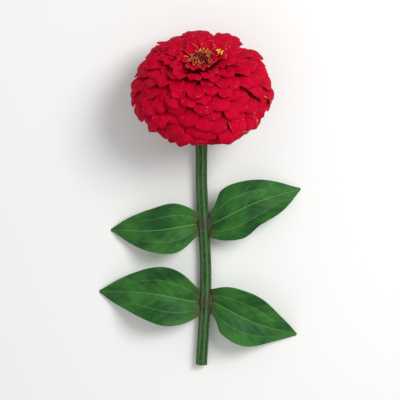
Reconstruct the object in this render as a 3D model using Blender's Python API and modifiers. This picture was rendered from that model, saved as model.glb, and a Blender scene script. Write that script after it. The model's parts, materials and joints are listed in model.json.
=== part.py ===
"""A picked double zinnia: one bloom on a cut stem with two pairs of leaves, lying on a flat surface.

+Z is up and +Y runs from the cut end towards the bloom. The origin is under the middle of the whole
flower, on the surface that it lies on. The bloom has a frame of its own, with w along its axis from
the rim of the receptacle and r away from that axis, and it is turned and set down at the end.
"""

import math

import bmesh
import bpy
import numpy as np
from mathutils import Matrix, Vector

MM = 0.001

# Bloom: the petal tips lie on a flattened ball.
BLOOM_RADIUS = 45 * MM
BLOOM_HALF_HEIGHT = 30 * MM
BLOOM_MIDDLE = 12 * MM
FACE_ELEVATION = math.radians(46)

# Petals, counted from the lowest and outermost one to the one beside the florets. The lowest are
# loose pieces, and each crown holds one turn of the others, with broad tips on the outer ones.
LOOSE_TIERS = 3
PETALS_IN_LOOSE_TIER = 13
CROWNS = 9
BROAD_CROWNS = 4
PETALS_IN_CROWN = 21
PETALS = LOOSE_TIERS * PETALS_IN_LOOSE_TIER + CROWNS * PETALS_IN_CROWN
GOLDEN_ANGLE = math.pi * (3 - math.sqrt(5))
LOWEST_TIP = math.radians(130)
HIGHEST_TIP = math.radians(11.5)
PETAL_WIDTH = 11 * MM
PETAL_THICKNESS = 0.45 * MM
HANDLE_SHARE = 0.42
TIP_LIFT = math.radians(15)
HEART_LIFT = math.radians(24)
HEART_REACH = math.radians(18)
STEEPEST_TIP = math.radians(-98)

# Receptacle: the green cone that carries the petals.
CONE_FOOT_RADIUS = 8 * MM
CONE_TOP_RADIUS = 3.4 * MM
CONE_HEIGHT = 26 * MM
RECEPTACLE_FOOT = 15 * MM
FIRST_ROOT = 1.6 * MM
ROOT_SPAN = 23.5 * MM
SEAT_GAP = 0.3 * MM

# Stem, along its middle line.
STEM_RADIUS = 3.9 * MM
NECK_RADIUS = 4.5 * MM
NODE_RADIUS = 4.8 * MM
NODE_SPREAD = 4 * MM
STEM_SWAY = 3 * MM
NODE_STATIONS = (-88 * MM, -140 * MM)
CUT_END = -182 * MM

# Bloom's widest ring: how far its middle lies from the origin, along the stem and up.
BLOOM_Y = 71.8 * MM
BLOOM_X = 1.1 * MM

LEAF_THICKNESS = 0.6 * MM
# A clasping base, widest low down and a long tip: (share of the length, share of the width).
LEAF_OUTLINE = (
    (0, 0.42),
    (0.08, 0.66),
    (0.16, 0.86),
    (0.25, 0.97),
    (0.35, 1),
    (0.46, 0.95),
    (0.58, 0.82),
    (0.7, 0.62),
    (0.82, 0.4),
    (0.92, 0.19),
    (1, 0.04),
)
# name: station on the stem, side, length, width, heading from straight sideways, arch height
LEAVES = {
    "leaf_upper_right": (0, 1, 64 * MM, 36 * MM, math.radians(22), 15 * MM),
    "leaf_upper_left": (0, -1, 57 * MM, 33 * MM, math.radians(-4), 13 * MM),
    "leaf_lower_right": (1, 1, 60 * MM, 35 * MM, math.radians(-22), 14 * MM),
    "leaf_lower_left": (1, -1, 66 * MM, 38 * MM, math.radians(6), 16 * MM),
}


def clear_scene():
    for old in list(bpy.data.objects):
        bpy.data.objects.remove(old, do_unlink=True)


def new_collection(name):
    made = bpy.data.collections.new(name)
    bpy.context.scene.collection.children.link(made)
    return made


def new_material(name, colour, roughness):
    made = bpy.data.materials.new(name)
    made.use_nodes = True
    surface = made.node_tree.nodes["Principled BSDF"]
    surface.inputs["Base Color"].default_value = (*colour, 1)
    surface.inputs["Roughness"].default_value = roughness
    surface.inputs["Metallic"].default_value = 0
    return made


def smooth(value, low, high):
    """0 below low, 1 above high, and an even S between them."""
    share = min(max((value - low) / (high - low), 0), 1)
    return share * share * (3 - 2 * share)


def bezier(a, b, c, d, share):
    """The point at that share of a cubic curve with these four control points."""
    rest = 1 - share
    return a * rest**3 + b * (3 * rest**2 * share) + c * (3 * rest * share**2) + d * share**3


def add_object(name, data, material, home):
    made = bpy.data.objects.new(name, data)
    made.data.materials.append(material)
    home.objects.link(made)
    return made


def add_sheet(name, across, along, place, thickness, material, home, ring=False):
    """A thin curved piece: a grid whose corners place(u, v) moves, with thickness on both sides.

    u runs across it and v along it, both from 0 to 1. A ring closes on itself in u.
    """
    grid = bmesh.new()
    bmesh.ops.create_grid(grid, x_segments=across, y_segments=along, size=0.5)
    for corner in grid.verts:
        corner.co = place(corner.co.x + 0.5, corner.co.y + 0.5)
    if ring:
        bmesh.ops.remove_doubles(grid, verts=grid.verts, dist=0.01 * MM)
    mesh = bpy.data.meshes.new(name)
    grid.to_mesh(mesh)
    grid.free()
    mesh.shade_smooth()
    made = add_object(name, mesh, material, home)
    body = made.modifiers.new("thickness", "SOLIDIFY")
    body.thickness = thickness
    body.offset = 0
    return made


def add_turned(name, profile, steps, material, home):
    """A turned piece from (r, w) points that run down its outer side."""
    outline = bmesh.new()
    corners = [outline.verts.new((r, 0, w)) for r, w in profile]
    for first, second in zip(corners, corners[1:]):
        outline.edges.new((first, second))
    mesh = bpy.data.meshes.new(name)
    outline.to_mesh(mesh)
    outline.free()
    made = add_object(name, mesh, material, home)
    turn = made.modifiers.new("turn", "SCREW")
    turn.steps = steps
    turn.render_steps = steps
    turn.use_merge_vertices = True
    turn.merge_threshold = 0.01 * MM
    return made


def from_axis(radius, height, azimuth):
    """A point of the bloom's own frame from its distance, height and turn round the axis."""
    return Vector((radius * math.cos(azimuth), radius * math.sin(azimuth), height))


# ---------------------------------------------------------------- petals


def tip_angle(petal):
    """How far the tip of that petal lies from the bloom's pole, seen from the ball's middle."""
    return LOWEST_TIP + (HIGHEST_TIP - LOWEST_TIP) * petal / (PETALS - 1)


def cone_radius(height):
    return CONE_FOOT_RADIUS + (CONE_TOP_RADIUS - CONE_FOOT_RADIUS) * height / CONE_HEIGHT


def tier_middle(petal):
    """The middle petal of the tier, because a whole tier springs from one height on the cone."""
    loose = LOOSE_TIERS * PETALS_IN_LOOSE_TIER
    size, start = (PETALS_IN_LOOSE_TIER, 0) if petal < loose else (PETALS_IN_CROWN, loose)
    tier = (petal - start) // size
    return start + tier * size + (size - 1) / 2


def petal_line(petal, share):
    """(r, w) on the middle line of that petal, at that share of its length."""
    height_share = tier_middle(petal) / PETALS
    height = FIRST_ROOT + ROOT_SPAN * height_share
    root = np.array([cone_radius(height) + SEAT_GAP, height])
    angle = tip_angle(petal)
    ball = np.array([BLOOM_RADIUS * math.sin(angle), BLOOM_HALF_HEIGHT * math.cos(angle)])
    tip = ball + np.array([0, BLOOM_MIDDLE])
    # Low petals leave the cone level and high ones stand up, and each ends almost along the ball.
    rise = math.radians(-2 + 76 * height_share**0.8)
    slope = math.atan2(-BLOOM_HALF_HEIGHT * math.sin(angle), BLOOM_RADIUS * math.cos(angle))
    lift = TIP_LIFT + HEART_LIFT * math.exp(-angle / HEART_REACH)
    lean = max(slope + lift, STEEPEST_TIP)
    handle = HANDLE_SHARE * np.linalg.norm(tip - root)
    leave = root + handle * np.array([math.cos(rise), math.sin(rise)])
    arrive = tip - handle * np.array([math.cos(lean), math.sin(lean)])
    return bezier(root, leave, arrive, tip, share)


def petal_breadth(share):
    """Share of the full width: a narrow claw, a broad blade and a rounded tip."""
    claw = 0.22 + 0.78 * smooth(share, 0.08, 0.72)
    past_shoulder = max(share - 0.72, 0) / 0.28
    return claw * math.sqrt(1 - 0.85 * past_shoulder**2)


def add_loose_petal(petal, material, home):
    middle = petal * GOLDEN_ANGLE

    def place(u, v):
        radius, height = petal_line(petal, v)
        sideways = (u - 0.5) * PETAL_WIDTH * petal_breadth(v)
        return from_axis(radius, height, middle + sideways / radius)

    return add_sheet(
        f"petal_{petal + 1:02d}", 2, 5, place, PETAL_THICKNESS, material, home
    )


def add_crown(crown, shoulders, material, home):
    """One turn of petals that share a root ring. Each tip ends where that petal's own line ends.

    shoulders says where the corners of a tip lie, as shares of the way to the next petal's middle.
    """
    first = LOOSE_TIERS * PETALS_IN_LOOSE_TIER + crown * PETALS_IN_CROWN
    full_turn = 2 * math.pi
    turns = sorted(
        (petal * GOLDEN_ANGLE % full_turn, petal) for petal in range(first, first + PETALS_IN_CROWN)
    )
    columns = len(shoulders) + 1
    notch_depth = 0.74

    def place(u, v):
        index, column = divmod(round(u * PETALS_IN_CROWN * columns), columns)
        before, _ = turns[(index - 1) % PETALS_IN_CROWN]
        middle, petal = turns[index % PETALS_IN_CROWN]
        after, next_petal = turns[(index + 1) % PETALS_IN_CROWN]
        if column == len(shoulders):
            lines = [petal_line(each, v * notch_depth) for each in (petal, next_petal)]
            radius, height = (lines[0] + lines[1]) / 2
            return from_axis(radius, height, middle + (after - middle) % full_turn / 2)
        shoulder = shoulders[column]
        room = (after - middle) % full_turn if shoulder > 0 else (middle - before) % full_turn
        radius, height = petal_line(petal, v)
        return from_axis(radius, height, middle + shoulder * room)

    return add_sheet(
        f"petal_crown_{crown + 1}",
        PETALS_IN_CROWN * columns,
        3,
        place,
        PETAL_THICKNESS,
        material,
        home,
        ring=True,
    )


# ---------------------------------------------------------------- heart and cup of the bloom


def receptacle_profile():
    """(r, w) points down the outside, from the top of the cone to the stem."""
    return [
        (0, CONE_HEIGHT + 1.6 * MM),
        (CONE_TOP_RADIUS - 0.8 * MM, CONE_HEIGHT + 1 * MM),
        (CONE_TOP_RADIUS, CONE_HEIGHT),
        (CONE_FOOT_RADIUS, 0),
        (9.6 * MM, -1.5 * MM),
        (10 * MM, -5 * MM),
        (8.2 * MM, -10.5 * MM),
        (5.4 * MM, -14.2 * MM),
        (NECK_RADIUS, -RECEPTACLE_FOOT),
        (0, -RECEPTACLE_FOOT),
    ]


def add_bract_row(name, count, foot, top, clearance, flare, turn, material, home):
    """A ring of overlapping green scales. foot and top are heights on the receptacle's side."""
    side = receptacle_profile()[4:9]
    heights = [height for _, height in reversed(side)]
    radii = [radius for radius, _ in reversed(side)]
    columns = 3
    notch_depth = 0.72

    def place(u, v):
        index, column = divmod(round(u * count * columns), columns)
        reach = v if column else v * notch_depth
        height = foot + (top - foot) * reach
        radius = float(np.interp(height, heights, radii)) + clearance + flare * reach**2
        angle = 2 * math.pi * (index + (0, 0.3, 0.7)[column]) / count
        return from_axis(radius, height, angle + turn)

    return add_sheet(
        name, count * columns, 3, place, 0.45 * MM, material, home, ring=True
    )


def add_floret_ring(material, home):
    """The small yellow florets round the heart, which spring from one ring."""
    count = 13
    foot = np.array([CONE_TOP_RADIUS - 0.4 * MM, CONE_HEIGHT + 1.35 * MM])
    mouth = np.array([4.9 * MM, CONE_HEIGHT + 13 * MM])

    def place(u, v):
        index, column = divmod(round(u * count * 2), 2)
        reach = v if column else v * 0.5
        radius, height = foot + (mouth - foot) * reach
        return from_axis(radius, height, 2 * math.pi * (index + column / 2) / count)

    return add_sheet(
        "disc_florets", count * 2, 2, place, 0.4 * MM, material, home, ring=True
    )


def add_heart(material, home):
    """The dark cone of unopened florets in the middle."""
    foot = CONE_HEIGHT + 1.9 * MM
    profile = [
        (0, foot + 9.6 * MM),
        (1.2 * MM, foot + 8.4 * MM),
        (2.1 * MM, foot + 4 * MM),
        (1.8 * MM, foot),
        (0, foot),
    ]
    return add_turned("floret_heart", profile, 12, material, home)


# ---------------------------------------------------------------- stem and leaves


def bloom_frame():
    """Turns and moves the bloom's own frame to where it lies, with its lowest petal on the surface."""
    turn = Matrix.Rotation(FACE_ELEVATION - math.pi / 2, 4, "X")
    lowest = 0
    for petal in range(PETALS):
        radius, height = petal_line(petal, 1)
        tip = from_axis(radius, height - BLOOM_MIDDLE, petal * GOLDEN_ANGLE)
        lowest = min(lowest, (turn @ tip).z)
    middle = Vector((BLOOM_X, BLOOM_Y, PETAL_THICKNESS / 2 - lowest))
    return Matrix.Translation(middle) @ turn @ Matrix.Translation((0, 0, -BLOOM_MIDDLE))


def stem_points(frame):
    """[(point, radius)] along the stem's middle line, from the bloom down to the cut end."""
    top = frame @ Vector((0, 0, -RECEPTACLE_FOOT - SEAT_GAP))
    lying_height = NODE_RADIUS + 0.1 * MM
    # The neck is an arc that turns from the bloom's axis to level, and ends at the lying height.
    bend = (top.z - lying_height) / (1 - math.cos(FACE_ELEVATION))
    neck_steps = 9
    points = []
    for step in range(neck_steps + 1):
        angle = FACE_ELEVATION * (1 - step / neck_steps)
        y = top.y - bend * (math.sin(FACE_ELEVATION) - math.sin(angle))
        z = lying_height + bend * (1 - math.cos(angle))
        points.append(Vector((BLOOM_X, y, z)))
    nodes = [BLOOM_Y + station for station in NODE_STATIONS]
    cut = BLOOM_Y + CUT_END
    lying = [points[-1].y * 0.7 + nodes[0] * 0.3, points[-1].y * 0.35 + nodes[0] * 0.65]
    for node in nodes:
        lying += [node + offset * MM for offset in (7, 3.5, 0, -3.5, -7)]
    lying += [(nodes[0] + nodes[1]) / 2, nodes[1] * 0.6 + cut * 0.4, cut]
    for y in sorted(lying, reverse=True):
        points.append(Vector((BLOOM_X, y, lying_height)))
    start, length = points[neck_steps].y, points[neck_steps].y - cut
    made = []
    for index, point in enumerate(points):
        along = max(start - point.y, 0) / length
        point.x += STEM_SWAY * math.sin(math.pi * along) * math.sin(2.4 * along)
        near = min(abs(point.y - node) for node in nodes)
        swelling = (NODE_RADIUS - STEM_RADIUS) * math.exp(-((near / NODE_SPREAD) ** 2))
        neck = (NECK_RADIUS - STEM_RADIUS) * (1 - smooth(index, 0, neck_steps))
        made.append((point, STEM_RADIUS + max(swelling, neck)))
    return made


def add_stem(frame, material, home):
    data = bpy.data.curves.new("stem", "CURVE")
    data.dimensions = "3D"
    data.bevel_depth = 1
    data.bevel_resolution = 3
    data.use_fill_caps = True
    line = data.splines.new("POLY")
    stations = stem_points(frame)
    line.points.add(len(stations) - 1)
    for target, (point, radius) in zip(line.points, stations):
        target.co = (*point, 1)
        target.radius = radius
    line.use_smooth = True
    return add_object("stem", data, material, home)


def node_on_stem(frame, station):
    """The stem's middle at that leaf node."""
    y = BLOOM_Y + NODE_STATIONS[station]
    return min((point for point, _ in stem_points(frame)), key=lambda point: abs(point.y - y))


def add_leaf(name, frame, material, home):
    """A leaf springs from the side of its node, arches, and its tip touches the surface."""
    station, side, length, width, heading, arch = LEAVES[name]
    node = node_on_stem(frame, station)
    ahead = Vector((side * math.cos(heading), math.sin(heading), 0))
    across = Vector((-ahead.y, ahead.x, 0)) * side
    base = node + Vector((side * (NODE_RADIUS + SEAT_GAP + 0.4 * MM), 0, 0))
    tip = base + ahead * length
    tip.z = LEAF_THICKNESS
    leave = base + ahead * length * 0.35 + Vector((0, 0, arch))
    arrive = base + ahead * length * 0.75
    arrive.z = arch * 0.7
    fold = 2.2 * MM

    def place(u, v):
        middle = bezier(base, leave, arrive, tip, v)
        offset = 2 * u - 1
        rise = fold * offset**2 * (1 - smooth(v, 0.3, 0.9))
        # The base edge stays square to the stem, so that it clears the node by the seat gap.
        square = 1 - smooth(v, 0, 0.25)
        sideways = across.lerp(Vector((0, 1, 0)), square).normalized()
        breadth = float(np.interp(v, *zip(*LEAF_OUTLINE)))
        return middle + sideways * offset * width / 2 * breadth + Vector((0, 0, rise))

    return add_sheet(name, 4, 12, place, LEAF_THICKNESS, material, home)


# ---------------------------------------------------------------- the flower


def build():
    clear_scene()
    bpy.context.scene.unit_settings.scale_length = 1
    home = new_collection("zinnia_flower")
    red = new_material("petal_red", (0.52, 0.004, 0.026), 0.55)
    gold = new_material("floret_gold", (0.85, 0.42, 0.05), 0.5)
    dark = new_material("heart_crimson", (0.16, 0.004, 0.012), 0.6)
    green = new_material("stem_green", (0.055, 0.15, 0.04), 0.5)
    leaf_green = new_material("leaf_green", (0.04, 0.15, 0.035), 0.5)
    bract_green = new_material("bract_green", (0.11, 0.17, 0.045), 0.55)
    cone_green = new_material("cone_green", (0.3, 0.36, 0.16), 0.6)

    bloom = [add_turned("receptacle", receptacle_profile(), 20, cone_green, home)]
    rows = (
        ("bracts_inner", 13, -9.0 * MM, 0.4 * MM, 0.6 * MM, 0.5 * MM),
        ("bracts_middle", 13, -11.8 * MM, -2.6 * MM, 1.4 * MM, 0.7 * MM),
        ("bracts_outer", 11, -13.8 * MM, -6.4 * MM, 2.2 * MM, 0.6 * MM),
    )
    for turn, (name, count, foot, top, clearance, flare) in enumerate(rows):
        bloom.append(
            add_bract_row(name, count, foot, top, clearance, flare, 0.25 * turn, bract_green, home)
        )
    for petal in range(LOOSE_TIERS * PETALS_IN_LOOSE_TIER):
        bloom.append(add_loose_petal(petal, red, home))
    for crown in range(CROWNS):
        shoulders = (-0.25, 0.25) if crown < BROAD_CROWNS else (0,)
        bloom.append(add_crown(crown, shoulders, red, home))
    bloom.append(add_floret_ring(gold, home))
    bloom.append(add_heart(dark, home))

    frame = bloom_frame()
    bloom_axis = bpy.data.objects.new("bloom_axis", None)
    home.objects.link(bloom_axis)
    bloom_axis.matrix_world = frame
    for piece in bloom:
        piece.parent = bloom_axis

    add_stem(frame, green, home)
    for name in LEAVES:
        add_leaf(name, frame, leaf_green, home)


build()
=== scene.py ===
# %% [markdown]
# # A picked double zinnia
#
# A zinnia bloom looks like one big flower, but it is a head of many small ones. Each red petal is
# a ray floret of its own, and they sit on a green cone in a spiral, like the seeds of a
# sunflower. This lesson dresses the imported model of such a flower: every petal, floret, scale and
# leaf becomes a thin two-sided sheet that bends and ruffles, and every finish is built from
# nodes.
#
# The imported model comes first. It says where everything lies, and nothing here moves or resizes
# it.

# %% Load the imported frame
import json
import math

import bpy
import numpy as np
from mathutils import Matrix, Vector

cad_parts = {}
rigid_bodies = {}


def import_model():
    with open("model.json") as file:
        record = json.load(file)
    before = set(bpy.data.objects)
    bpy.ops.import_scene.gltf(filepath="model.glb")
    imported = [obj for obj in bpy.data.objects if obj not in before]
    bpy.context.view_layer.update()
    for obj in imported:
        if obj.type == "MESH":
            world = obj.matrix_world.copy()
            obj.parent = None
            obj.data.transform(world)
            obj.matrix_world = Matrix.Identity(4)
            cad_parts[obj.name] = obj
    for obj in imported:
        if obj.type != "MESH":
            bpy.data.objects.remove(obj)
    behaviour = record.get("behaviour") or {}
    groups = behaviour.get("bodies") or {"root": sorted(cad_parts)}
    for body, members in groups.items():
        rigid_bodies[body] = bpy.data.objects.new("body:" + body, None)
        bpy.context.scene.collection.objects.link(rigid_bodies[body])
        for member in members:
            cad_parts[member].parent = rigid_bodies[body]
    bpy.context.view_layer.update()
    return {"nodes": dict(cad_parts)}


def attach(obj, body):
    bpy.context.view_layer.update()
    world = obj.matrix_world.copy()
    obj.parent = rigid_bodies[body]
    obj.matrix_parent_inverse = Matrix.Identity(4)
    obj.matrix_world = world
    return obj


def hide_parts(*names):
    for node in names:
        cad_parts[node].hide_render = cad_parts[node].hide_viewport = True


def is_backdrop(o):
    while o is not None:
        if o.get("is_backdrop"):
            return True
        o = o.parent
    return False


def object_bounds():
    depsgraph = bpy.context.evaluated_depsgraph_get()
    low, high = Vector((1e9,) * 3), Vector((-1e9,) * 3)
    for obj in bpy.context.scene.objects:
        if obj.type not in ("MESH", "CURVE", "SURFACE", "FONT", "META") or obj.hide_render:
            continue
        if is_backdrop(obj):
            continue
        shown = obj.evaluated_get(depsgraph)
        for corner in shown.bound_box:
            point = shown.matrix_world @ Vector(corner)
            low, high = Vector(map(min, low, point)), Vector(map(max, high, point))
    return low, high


for leftover in list(bpy.data.objects):
    bpy.data.objects.remove(leftover, do_unlink=True)

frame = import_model()
print("nodes in the frame:", len(frame["nodes"]))

# %% [markdown]
# ## Driving sizes
#
# The bloom's frame has a height along its axis, counted from the rim of the receptacle, and a
# radius away from the axis. The petal tips lie on a flattened ball. These are the sizes that the
# solids were built from, so that each sheet lies where its solid is. Only the petals round the
# heart and the lowest ones open up to 3 mm wider than their solids do.

# %% Sizes of the bloom, the stem and the leaves
MM = 0.001
BLOOM_RADIUS = 45 * MM
BLOOM_HALF_HEIGHT = 30 * MM
BLOOM_MIDDLE = 12 * MM
FACE_ELEVATION = math.radians(46)

LOOSE_PETALS = 39
CROWNS = 9
PETALS_IN_CROWN = 21
PETALS = LOOSE_PETALS + CROWNS * PETALS_IN_CROWN
GOLDEN_ANGLE = math.pi * (3 - math.sqrt(5))
LOWEST_TIP = math.radians(130)
HIGHEST_TIP = math.radians(11.5)
TIP_LIFT = math.radians(15)
HEART_LIFT = math.radians(2)
HEART_REACH = math.radians(18)
STEEPEST_TIP = math.radians(-98)
# The sheets' own: the innermost petals lean out over their neighbours, and the lowest hang a
# little wider than the ball.
HEART_OPENING = 1.8 * MM
HEART_SETTLE = 1.2 * MM
HEART_OPENING_REACH = math.radians(9)
SKIRT_SPREAD = 0.062
SKIRT_ANGLE = math.radians(106)
SKIRT_REACH = math.radians(13)

CONE_FOOT_RADIUS = 8 * MM
CONE_TOP_RADIUS = 3.4 * MM
CONE_HEIGHT = 26 * MM
RECEPTACLE_FOOT = 15 * MM

STEM_RADIUS = 3.9 * MM
NECK_RADIUS = 4.5 * MM
NODE_RADIUS = 4.8 * MM
NODE_SPREAD = 4 * MM
STEM_SWAY = 3 * MM
NODE_STATIONS = (-88 * MM, -140 * MM)
CUT_END = -182 * MM

rng = np.random.default_rng(7)
print("petals to grow:", PETALS)

# %% [markdown]
# ## Camera, light and floor
#
# The flower lies on a pale table, and its bloom leans about 45 degrees away from straight up. A
# camera that looks straight down therefore sees the bloom from above its shoulder, with the stem
# running down. One soft lamp stands to the right, a weak one stands opposite, and a pale sky
# fills the shadows, as in a studio tent.

# %% Camera
CAMERA_HEIGHT = 0.95
LENS = 127
FRAME_WIDTH = 36


def add_camera():
    data = bpy.data.cameras.new("camera")
    data.lens = LENS
    data.sensor_width = FRAME_WIDTH
    camera = bpy.data.objects.new("camera", data)
    camera.location = (0, 0, CAMERA_HEIGHT)
    bpy.context.scene.collection.objects.link(camera)
    bpy.context.scene.camera = camera


add_camera()
print("camera sees", round(CAMERA_HEIGHT * FRAME_WIDTH / LENS, 3), "m across the table")

# %% Lamps, sky and floor
# name: place, size, power
LAMPS = {
    "key_lamp": ((0.46, 0.28, 0.78), 0.4, 5.9),
    "fill_lamp": ((-0.6, -0.5, 0.7), 0.8, 0.9),
}
SKY_STRENGTH = 0.54
FLOOR_SIZE = 6


def add_lamp(name, place, size, power):
    data = bpy.data.lights.new(name, "AREA")
    data.size = size
    data.energy = power
    lamp = bpy.data.objects.new(name, data)
    lamp.location = place
    lamp.rotation_euler = (-Vector(place)).to_track_quat("-Z", "Y").to_euler()
    bpy.context.scene.collection.objects.link(lamp)


def add_sky():
    sky = bpy.data.worlds.new("sky")
    sky.use_nodes = True
    background = sky.node_tree.nodes["Background"]
    background.inputs["Color"].default_value = (1, 1, 1, 1)
    background.inputs["Strength"].default_value = SKY_STRENGTH
    bpy.context.scene.world = sky


for name, (place, size, power) in LAMPS.items():
    add_lamp(name, place, size, power)
add_sky()
bpy.context.scene.view_settings.view_transform = "Standard"

bpy.ops.mesh.primitive_plane_add(size=FLOOR_SIZE)
floor = bpy.context.object
floor.name = "floor"
floor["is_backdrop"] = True
print("lamps:", list(LAMPS))

# %% [markdown]
# ## Writing finishes as sums
#
# Shader maths reads best as a formula. A Wire holds one socket of a material, and plus, minus,
# times and divide on it add the Math nodes that work it out. Any other node comes from
# Finish.node, which takes the node's type, its settings and what its sockets get.


# %% Wire and Finish
class Wire:
    """A socket that arithmetic can be done on."""

    def __init__(self, finish, socket):
        self.finish = finish
        self.socket = socket

    def math(self, operation, *values):
        sockets = dict(enumerate(values))
        return self.finish.node("Math", {"operation": operation}, sockets)

    def __add__(self, other):
        return self.math("ADD", self, other)

    def __sub__(self, other):
        return self.math("SUBTRACT", self, other)

    def __rsub__(self, other):
        return self.math("SUBTRACT", other, self)

    def __mul__(self, other):
        return self.math("MULTIPLY", self, other)

    def __truediv__(self, other):
        return self.math("DIVIDE", self, other)

    def __abs__(self):
        return self.math("ABSOLUTE", self)

    def fraction(self):
        return self.math("FRACT", self)

    __radd__ = __add__
    __rmul__ = __mul__

    def between(self, low, high):
        """0 below low, 1 above high and a smooth rise from one to the other."""
        settings = {"interpolation_type": "SMOOTHSTEP"}
        sockets = {"Value": self, "From Min": low, "From Max": high}
        return self.finish.node("MapRange", settings, sockets)


class Finish:
    """A material that is being built round its Principled shader."""

    def __init__(self, name, **constants):
        self.material = bpy.data.materials.new(name)
        self.material.use_nodes = True
        self.tree = self.material.node_tree
        self.surface = self.tree.nodes["Principled BSDF"]
        for label, value in constants.items():
            self.surface.inputs[label.replace("_", " ").title()].default_value = value

    def plug(self, socket, value):
        if isinstance(value, Wire):
            self.tree.links.new(value.socket, socket)
        else:
            socket.default_value = value

    def node(self, kind, settings=None, sockets=None, output=0):
        made = self.tree.nodes.new("ShaderNode" + kind)
        for key, value in (settings or {}).items():
            setattr(made, key, value)
        for key, value in (sockets or {}).items():
            self.plug(made.inputs[key], value)
        return Wire(self, made.outputs[output])

    def mark(self, name):
        """A value that the mesh carries at each of its points."""
        return self.node("Attribute", {"attribute_name": name}, output="Fac")

    def marks(self, *names):
        return [self.mark(name) for name in names]

    def place(self):
        """The point of the object itself, in metres."""
        return self.node("TexCoord", output="Object")

    def grain(self, side, way, seed):
        """Millimetres across and along one sheet, in a layer of the noise that is its own."""
        return self.node("CombineXYZ", {}, {"X": side, "Y": way, "Z": seed})

    def mix(self, share, first, second):
        """A colour that turns from the first to the second."""
        sockets = {0: share, 6: first, 7: second}
        return self.node("Mix", {"data_type": "RGBA"}, sockets, output=2)

    def noise(self, vector, scale, detail=2.0):
        """Noise with one scale for all axes, or with a tuple of three."""
        if isinstance(scale, tuple):
            stretch = {0: vector, 1: scale}
            vector, scale = self.node("VectorMath", {"operation": "MULTIPLY"}, stretch), 1.0
        return self.node("TexNoise", {}, {"Vector": vector, "Scale": scale, "Detail": detail})

    def paint(self, shade, roughness=None, height=None, depth=0.0):
        """Plugs in what changes over the surface. A height of 1 stands out by depth metres."""
        self.plug(self.surface.inputs["Base Color"], shade)
        if roughness is not None:
            self.plug(self.surface.inputs["Roughness"], roughness)
        if height is not None:
            sockets = {"Height": height, "Distance": depth, "Strength": 1.0}
            self.plug(self.surface.inputs["Normal"], self.node("Bump", {}, sockets))
        return self.material


def colour(red, green, blue):
    """A colour given as it looks on a screen, from 0 to 255, turned into the light's own scale."""
    screen = [part / 255 for part in (red, green, blue)]
    light = [part / 12.92 if part < 0.04 else ((part + 0.055) / 1.055) ** 2.4 for part in screen]
    return (*light, 1)


def floor_finish():
    finish = Finish("floor_paint", roughness=0.85)
    cloud = finish.noise(finish.place(), 3.0)
    return finish.paint(finish.mix(cloud, colour(238, 238, 236), colour(243, 243, 242)))


floor.data.materials.append(floor_finish())
print("floor finish:", floor.data.materials[0].name)

# %% [markdown]
# ## Thin sheets with two sides
#
# Petals, scales and leaves are all thin sheets. A plane with no thickness has no underside and no
# rim, so Sheets builds both faces of each sheet and the rim between them, and gathers many sheets
# in one mesh. Each point also carries marks, such as how far along the petal it lies, which the
# finishes read.


# %% A collector for sheets
FREE_EDGE = 0.5
TINY = 1e-12


class Sheets:
    """Thin closed sheets, joined in one mesh, with values marked on their points."""

    def __init__(self):
        self.points = []
        self.faces = []
        self.marks = {}
        self.count = 0

    def add(self, grid, thickness, closed=False, **marks):
        """grid holds rows of points on the middle of the sheet, and closed joins its columns."""
        rows, columns, _ = grid.shape
        if closed:
            wide = np.concatenate([grid[:, -1:], grid, grid[:, :1]], axis=1)
            across = np.gradient(wide, axis=1)[:, 1:-1]
        else:
            across = np.gradient(grid, axis=1)
        normal = np.cross(across, np.gradient(grid, axis=0))
        normal /= np.linalg.norm(normal, axis=2, keepdims=True) + TINY
        half = np.full((rows, columns, 1), thickness / 2)
        half[-1] *= FREE_EDGE
        if not closed:
            half[:, [0, -1]] *= FREE_EDGE
        layers = np.stack([grid + normal * half, grid - normal * half])
        index = np.arange(layers.size // 3).reshape(2, rows, columns) + self.count
        if closed:
            index = np.concatenate([index, index[:, :, :1]], axis=2)
        top, under = index
        self.add_faces(top[:-1, :-1], top[:-1, 1:], top[1:, 1:], top[1:, :-1])
        self.add_faces(under[:-1, :-1], under[1:, :-1], under[1:, 1:], under[:-1, 1:])
        self.add_faces(top[0, :-1], under[0, :-1], under[0, 1:], top[0, 1:])
        self.add_faces(top[-1, 1:], under[-1, 1:], under[-1, :-1], top[-1, :-1])
        if not closed:
            self.add_faces(top[1:, 0], under[1:, 0], under[:-1, 0], top[:-1, 0])
            self.add_faces(top[:-1, -1], under[:-1, -1], under[1:, -1], top[1:, -1])
        self.points.append(layers.reshape(-1, 3))
        self.count += layers.size // 3
        marks["under"] = np.array([0.0, 1.0])[:, None, None]
        for name, value in marks.items():
            filled = np.broadcast_to(value, (2, rows, columns)).reshape(-1)
            self.marks.setdefault(name, []).append(filled)

    def add_faces(self, *corners):
        self.faces.append(np.stack([corner.reshape(-1) for corner in corners], axis=1))

    def finish(self, name, material, slot, nodes):
        points, faces = np.concatenate(self.points), np.concatenate(self.faces).tolist()
        marks = {mark: np.concatenate(values) for mark, values in self.marks.items()}
        piece = add_piece(name, points, faces, material, nodes, marks)
        piece.data.shade_smooth()


def add_piece(name, points, faces, material, nodes, marks=None):
    """Makes the object, which rides with the flower and stands for those solids."""
    mesh = bpy.data.meshes.new(name)
    mesh.from_pydata(points.tolist(), [], faces)
    for mark, values in (marks or {}).items():
        layer = mesh.attributes.new(mark, "FLOAT", "POINT")
        layer.data.foreach_set("value", values.astype(np.float32))
    mesh.materials.append(material)
    piece = bpy.data.objects.new(name, mesh)
    bpy.context.scene.collection.objects.link(piece)
    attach(piece, "root")
    if nodes:
        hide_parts(*nodes)
    return piece


def rise(value, low, high):
    """The smooth step that the finishes use too, for arrays of numbers."""
    share = np.clip((value - low) / (high - low), 0, 1)
    return share * share * (3 - 2 * share)


def strip(rows, columns):
    """Shares along a sheet, from 0 to 1, and across it, from -1 to 1."""
    return np.linspace(0, 1, rows)[:, None], np.linspace(-1, 1, columns)[None, :]


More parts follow.
